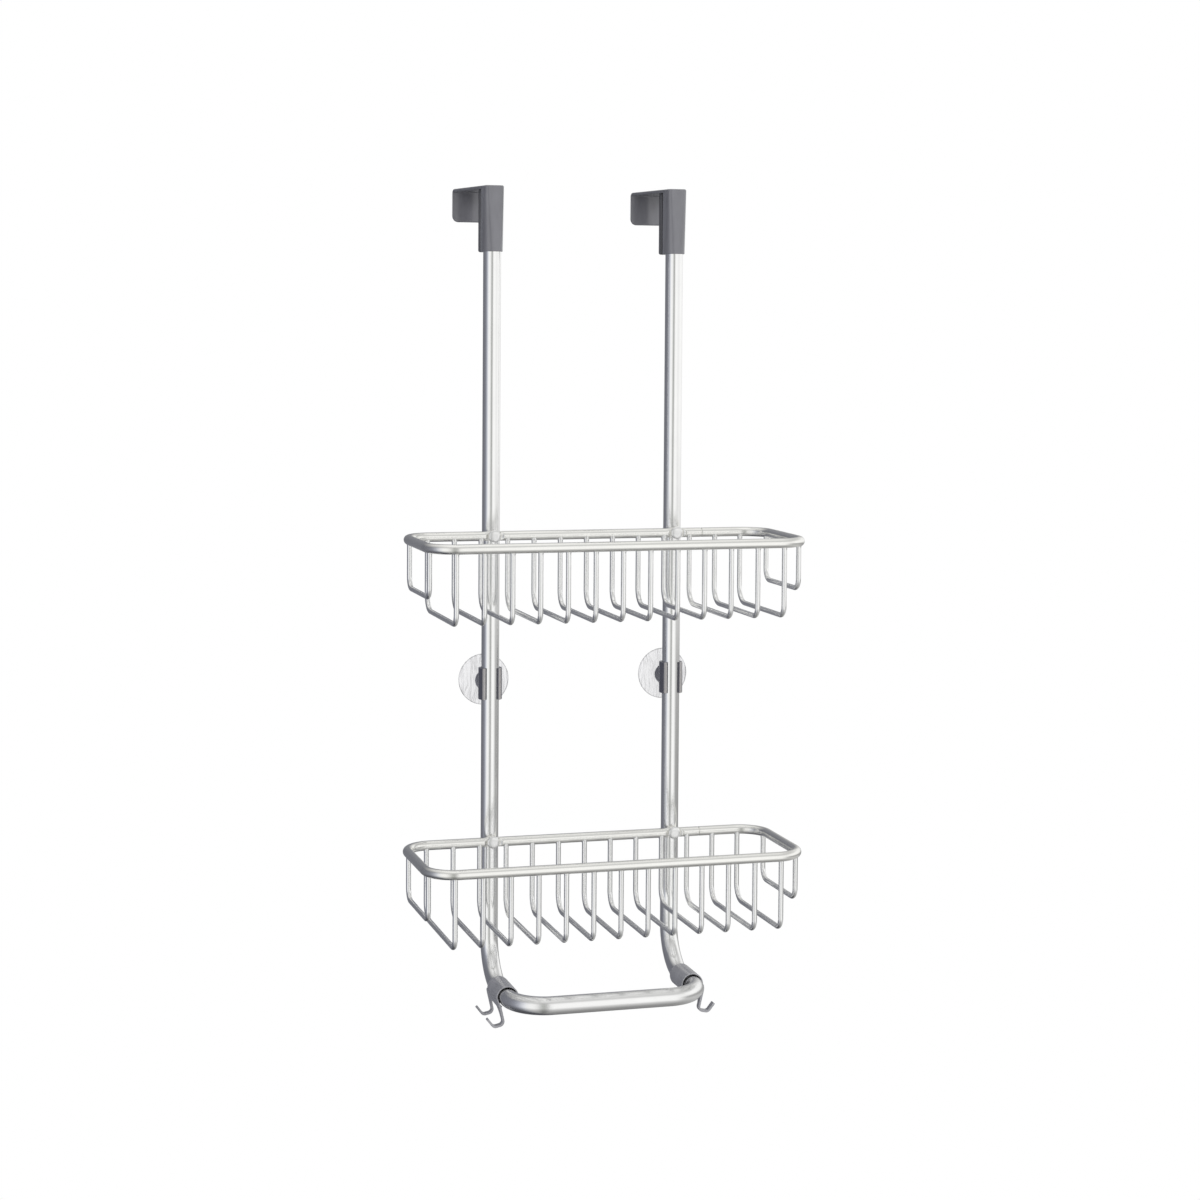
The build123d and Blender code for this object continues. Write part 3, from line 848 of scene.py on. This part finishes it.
class CADDY_OT_door_hooks(bpy.types.Operator):
    """Make the door hooks: a socket over the tube's end, a plate over the door with a leg down behind it,
    and a spacer pad on two ribs in front of the door"""

    bl_idname = "caddy.door_hooks"
    bl_label = "Door hooks"

    def execute(self, context):
        sizes = context.scene.caddy_sizes
        for side in SIDES:
            low, high = corners(f"{side}_door_hook")
            axis_x, axis_y, tube = upright_axis(side)
            axis = np.array((axis_x, axis_y, 0.0))
            shell = Shell().add(self.socket(axis, tube, low, high, sizes))
            shell.add(self.plate_and_leg(axis, low, high, sizes))
            pad = self.block(
                axis_x, sizes.pad_width, -sizes.pad_thickness, 0, low[2], sizes.pad_lap, sizes.pad_edge)
            shell.add(pad, slot=1)
            for share in RIB_PLACES:
                bottom, top = (low[2] * share + half * sizes.rib_thickness for half in (-0.5, 0.5))
                rib = self.block(axis_x, sizes.pad_width - 2 * sizes.pad_edge, axis_y + tube,
                                 -sizes.pad_thickness / 2, bottom, top, sizes.rib_edge)
                shell.add(rib, slot=1)
            shell.piece(f"{side}_door_hook_moulding", [plastic_finish("hook"), plastic_finish("pad")],
                        "frame", [f"{side}_door_hook"])
        return {"FINISHED"}

    def socket(self, axis, tube, low, high, sizes):
        """Rounded squares whose front corners grow in radius downwards, drawn in along quarter circles at
        the top and bottom, and joined at the bottom to the bore, whose points lie on the same spokes."""
        half = axis[1] - low[1]
        quarter = np.linspace(0, np.pi / 2, 7)
        lip, crown = sizes.socket_lip, sizes.socket_edge
        top = high[2] - TOP_STEP
        straight = np.linspace(low[2] + 2 * lip, top - 1.5 * crown, 12)
        heights = np.concatenate((
            low[2] + lip * (1 - np.cos(quarter)), straight, top - crown * (1 - np.sin(quarter))))
        inset = np.concatenate((
            lip * (1 - np.sin(quarter)), np.zeros_like(straight), crown * (1 - np.cos(quarter))))
        front = np.interp(heights, (low[2], top), (sizes.socket_bottom_corner, sizes.socket_top_corner))
        radii = np.stack([np.full_like(front, sizes.socket_back_corner)] * 2 + [front] * 2, axis=1)
        outline = rounded_rectangle(2 * (half - inset), 2 * (half - inset), radii - inset[:, None])
        spokes = outline[:1] / np.linalg.norm(outline[:1], axis=-1, keepdims=True)
        bore = np.repeat(spokes * tube, 2, axis=0)
        return stacked(axis, np.concatenate(((0.0, low[2]), heights)), np.concatenate((bore, outline)))

    def plate_and_leg(self, axis, low, high, sizes):
        """A flat bar carried back over the door and down behind it. Its width grows evenly to the leg's
        and its end draws in along a quarter circle in width and a smaller one in thickness."""
        thick = high[2]
        back, top = high[1] - thick / 2, high[2] - thick / 2
        places, directions, travelled = route(
            [(axis[0], axis[1], top), (axis[0], back, top), (axis[0], back, -sizes.leg_height)],
            sizes.plate_bend, *PLATE_STEPS)
        places, directions, travelled = filled_in(
            places, directions, travelled, travelled[-1] - sizes.leg_corner * np.linspace(0, 1, 24) ** 2)
        left = travelled[-1] - travelled
        narrow, wide = axis[1] - low[1], (high[0] - low[0]) / 2
        half = np.interp(travelled, (0, back - axis[1]), (narrow, wide))
        half -= rounded_end(left, sizes.leg_corner)
        thickness = thick - 2 * rounded_end(left, sizes.leg_toe)
        edge = np.minimum(sizes.plate_edge, 0.45 * thickness)
        return carried(places, directions, X_AXIS, rounded_rectangle(2 * half, thickness, edge[:, None], 6))

    def block(self, x, width, front, back, bottom, top, edge):
        """A box whose bottom and top draw in along quarter circles and whose upright edges are round, at
        three fifths of the same radius."""
        steps = edge * np.linspace(0, 1, 8) ** 2
        heights = np.concatenate((bottom + steps, top - steps[::-1]))
        inset = rounded_end(np.minimum(heights - bottom, top - heights), edge)
        outline = rounded_rectangle(width - 2 * inset, back - front - 2 * inset, 0.6 * edge, 5)
        return stacked(np.array((x, (front + back) / 2, 0)), heights, outline)


def softened(node, body, material, rounding):
    """A copy of a CAD moulding with soft edges: its loose triangles are merged, the flat runs of them made
    one face each, and every edge that turns by more than the crease angle is rounded to an arc."""
    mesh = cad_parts[node].data.copy()
    mesh.name = f"{node}_moulding"
    if mesh.has_custom_normals:
        mesh.attributes.remove(mesh.attributes["custom_normal"])
    form = bmesh.new()
    form.from_mesh(mesh)
    bmesh.ops.remove_doubles(form, verts=form.verts, dist=MERGE_DISTANCE)
    bmesh.ops.dissolve_limit(form, angle_limit=FLAT_ANGLE, verts=form.verts, edges=form.edges)
    for face in form.faces:
        face.smooth = True
    form.to_mesh(mesh)
    form.free()
    mesh.set_sharp_from_angle(angle=CREASE_ANGLE)
    mesh.materials.clear()
    mesh.materials.append(material)
    piece = new_object(mesh.name, mesh)
    bevel = piece.modifiers.new("soft edges", "BEVEL")
    bevel.limit_method, bevel.angle_limit = "ANGLE", CREASE_ANGLE
    bevel.width, bevel.segments = rounding, ROUNDING_STEPS
    bevel.harden_normals, bevel.use_clamp_overlap = True, False
    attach(piece, body)
    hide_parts(node)


class CADDY_OT_mouldings(bpy.types.Operator):
    """Make the hook clips and cup holders, with the soft edges of moulded plastic"""

    bl_idname = "caddy.mouldings"
    bl_label = "Mouldings"

    def execute(self, context):
        sizes = context.scene.caddy_sizes
        for side in SIDES:
            softened(f"{side}_hook_clip", "frame", plastic_finish("clip"), sizes.clip_rounding)
            # The holders' plastic has a painted highlight on its lips
            softened(f"{side}_cup_holder", f"{side}_holder", plastic_finish("holder", lip_highlight_mask),
                     sizes.holder_rounding)
        return {"FINISHED"}


# ---- Stage ----


# The light tent and the floor, in metres
TENT_RADIUS = 2.4
TENT_ROWS = 33
TENT_COLUMNS = 64
FLOOR_REACH = 30.0
FLOOR_HEIGHT = -3.2

# The camera's place in metres, its turn to the right, dip and roll in degrees, its lens and sensor in
# millimetres, the lens's shift as shares of the sensor's width, and how far the camera sees in metres
CAMERA_PLACE = (-0.52396, -1.83499, -0.10494)
CAMERA_ANGLES = (15.328, 2.80, 0.337)
CAMERA_LENS = 71.314
CAMERA_SENSOR = 36.0
CAMERA_SHIFT = (0.04175, -0.13355)
CAMERA_REACH = 100.0

# The tent's glow. A heading is in degrees round the caddy, nought towards the camera and growing to the
# camera's right, and a height is in degrees above the caddy's middle. A stop is an angle and a grey or a
# colour. The glow of the sides is its shade by heading times that by height, less a dim stretch low down
# at the right, and it goes over into the glow overhead.
TENT_AXES = ((-0.264, -0.965, 0), (0.965, -0.264, 0), (0, 0, 1))
SIDES_BY_HEADING = (
    (-180, (0.24, 0.245, 0.27)), (-130, (0.16, 0.165, 0.19)), (-95, (0.19, 0.195, 0.225)),
    (-76, (0.255, 0.265, 0.31)), (-62, (0.45, 0.465, 0.525)), (-48, (0.83, 0.85, 0.90)), (-38, 1.0),
    (-22, 1.0), (-11, 0.76), (-1, (0.36, 0.375, 0.355)), (8, 0.46), (19, 1.0), (35, 1.05), (53, 0.98),
    (67, 0.93), (81, 1.0), (97, 1.05), (120, 1.0), (152, 0.95), (168, 0.5), (180, (0.24, 0.245, 0.27)))
SIDES_BY_HEIGHT = (
    (-90, 0.26), (-65, 0.38), (-50, 0.52), (-38, 0.70), (-27, 1.0), (22, 1.0), (34, 0.75), (45, 0.60))
DIM_BY_HEADING = ((50, 0.0), (78, 1.0), (160, 1.0), (178, 0.0))
DIM_BY_HEIGHT = ((-40, 0.3), (-15, 1.0), (-10, 0.9), (-5, 0.35), (0, 0.0))
DIM_STRENGTH = 0.68
OVERHEAD_BY_HEIGHT = ((40, 0.60), (58, 0.75), (70, 0.95), (90, 1.0))
OVERHEAD_SHARE = ((22, 0.0), (48, 1.0))


def tent_finish():
    """A light tent's inside. Its glow goes by the heading round the caddy and by the height: dark behind
    and to the left, bright in two panels at the front and one at the right, and dim below."""
    graph = Graph(bpy.data.materials.new("light tent"))
    middle = [(a + b) / 2 for a, b in zip(*FRAME_BOUNDS)]
    way = graph.node("VectorMath", {"operation": "SUBTRACT"}, {0: graph.coordinates(), 1: middle})
    towards, rightwards, upwards = (graph.dot(way, axis) for axis in TENT_AXES)
    outwards = (towards * towards + rightwards * rightwards) ** 0.5
    heading = rightwards.math("ARCTAN2", towards) * (180 / np.pi)
    height = upwards.math("ARCTAN2", outwards) * (180 / np.pi)
    sides_around, dim_around = (
        graph.ramp(heading, stops, "LINEAR", -180, 180) for stops in (SIDES_BY_HEADING, DIM_BY_HEADING))
    sides_up, dim_up, overhead, share_above = (
        graph.ramp(height, stops, "LINEAR", -90, 90)
        for stops in (SIDES_BY_HEIGHT, DIM_BY_HEIGHT, OVERHEAD_BY_HEIGHT, OVERHEAD_SHARE))
    sides = graph.blend(1.0, sides_around, sides_up, way="MULTIPLY")
    sides = graph.blend(dim_around * dim_up * DIM_STRENGTH, sides, (0, 0, 0, 1))
    glow = graph.blend(share_above, sides, overhead)
    graph.owner.cycles.emission_sampling = "NONE"
    return graph.surface(graph.node("Emission", {}, {"Color": glow, "Strength": 1.0}))


def floor_finish():
    """A pale floor, white to the camera and in metal and glass, and plain matt to the other rays."""
    graph = Graph(bpy.data.materials.new("pale floor"))
    rays = ("Is Camera Ray", "Is Glossy Ray", "Is Transmission Ray")
    seen = sum((graph.node("LightPath", output=ray) for ray in rays), 0.0).math("MINIMUM", 1.0)
    matt = graph.node("BsdfDiffuse", {}, {"Color": (0.9, 0.9, 0.9, 1)})
    white = graph.node("Emission", {}, {"Color": (1, 1, 1, 1), "Strength": 1.0})
    return graph.surface(graph.node("MixShader", {}, {0: seen, 1: matt, 2: white}))


def stage_object(name, points, faces, material):
    """A mesh that belongs to the stage."""
    mesh = bpy.data.meshes.new(name)
    mesh.from_pydata(points, [], faces)
    mesh.materials.append(material)
    stage = new_object(name, mesh)
    return stage


def lamp(name, place, target, size, energy):
    """A square area lamp of a size in metres and an energy in watts, which points at target and isn't
    mirrored in the metal."""
    light = bpy.data.lights.new(name, "AREA")
    light.size, light.energy = size, energy
    stand = new_object(name, light)
    stand.location = place
    stand.rotation_euler = (Vector(target) - Vector(place)).to_track_quat("-Z", "Y").to_euler()
    stand.visible_glossy = False


def camera_matrix():
    """The camera's place and axes. Right and ahead follow from its turn and dip, above is square to both,
    and the roll turns right and above about ahead."""
    turn, dip, roll = np.radians(CAMERA_ANGLES)
    right = np.array((np.cos(turn), -np.sin(turn), 0))
    ahead = np.array((np.sin(turn) * np.cos(dip), np.cos(turn) * np.cos(dip), -np.sin(dip)))
    above = np.cross(right, ahead)
    cosine, sine = np.cos(roll), np.sin(roll)
    axes = (cosine * right + sine * above, cosine * above - sine * right, -ahead)
    return Matrix.Translation(CAMERA_PLACE) @ Matrix(np.stack(axes, axis=1)).to_4x4()


class CADDY_OT_stage(bpy.types.Operator):
    """Put a pale floor, a light tent, soft lamps and the camera round the caddy"""

    bl_idname = "caddy.stage"
    bl_label = "Stage"

    def execute(self, context):
        scene = context.scene
        middle = Vector((a + b) / 2 for a, b in zip(*FRAME_BOUNDS))
        world = bpy.data.worlds.new("white room")
        scene.world = world
        graph = Graph(world)
        graph.node("OutputWorld", {}, {"Surface": graph.node(
            "Background", {}, {"Color": (1, 1, 1, 1), "Strength": 1.0})})
        scene.view_settings.view_transform = "Standard"

        tilt = np.linspace(-np.pi / 2, np.pi / 2, TENT_ROWS)
        heights, radii = TENT_RADIUS * np.sin(tilt), TENT_RADIUS * np.cos(tilt)
        rings = turned(np.array(middle), Z_AXIS, X_AXIS, heights, radii, TENT_COLUMNS)
        faces = grid_faces(TENT_ROWS, TENT_COLUMNS, False)[0]
        tent = stage_object("light_tent", rings.reshape(-1, 3), faces, tent_finish())
        tent.visible_camera = tent.visible_transmission = tent.visible_shadow = False
        floor = [(x * FLOOR_REACH, y * FLOOR_REACH, FLOOR_HEIGHT)
                 for x, y in ((-1, -1), (1, -1), (1, 1), (-1, 1))]
        stage_object("floor", floor, [(0, 1, 2, 3)], floor_finish())
        lamp("key", (0.9, -1.5, 0.9), middle, 1.2, 14)
        lamp("fill", (-1.3, -1.3, 0.1), middle, 1.4, 6)

        camera = new_object("camera", bpy.data.cameras.new("camera"))
        scene.camera = camera
        camera.data.lens, camera.data.sensor_width = CAMERA_LENS, CAMERA_SENSOR
        camera.data.shift_x, camera.data.shift_y = CAMERA_SHIFT
        camera.data.clip_end = CAMERA_REACH
        camera.matrix_world = camera_matrix()
        return {"FINISHED"}


# ---- Add-on ----

STEPS = (
    CADDY_OT_uprights, CADDY_OT_towel_bar, CADDY_OT_rims, CADDY_OT_wires, CADDY_OT_rivets, CADDY_OT_cups,
    CADDY_OT_door_hooks, CADDY_OT_mouldings, CADDY_OT_stage)


class CADDY_PT_panel(bpy.types.Panel):
    """The caddy's sizes, colours and making steps"""

    bl_idname = "CADDY_PT_panel"
    bl_label = "Shower caddy"
    bl_space_type = "VIEW_3D"
    bl_region_type = "UI"
    bl_category = "Caddy"

    def draw(self, context):
        for group in (context.scene.caddy_sizes, context.scene.caddy_colours):
            box = self.layout.box()
            for name in group.__annotations__:
                box.prop(group, name)
        for step in STEPS:
            self.layout.operator(step.bl_idname)


CLASSES = (CaddySizes, CaddyColours, *STEPS, CADDY_PT_panel)


def register():
    for kind in CLASSES:
        bpy.utils.register_class(kind)
    bpy.types.Scene.caddy_sizes = PointerProperty(type=CaddySizes)
    bpy.types.Scene.caddy_colours = PointerProperty(type=CaddyColours)


def unregister():
    del bpy.types.Scene.caddy_colours
    del bpy.types.Scene.caddy_sizes
    for kind in reversed(CLASSES):
        bpy.utils.unregister_class(kind)


def main():
    register()
    for step in STEPS:
        group, name = step.bl_idname.split(".")
        getattr(getattr(bpy.ops, group), name)()
    bpy.context.view_layer.update()


if __name__ == "__main__":
    main()
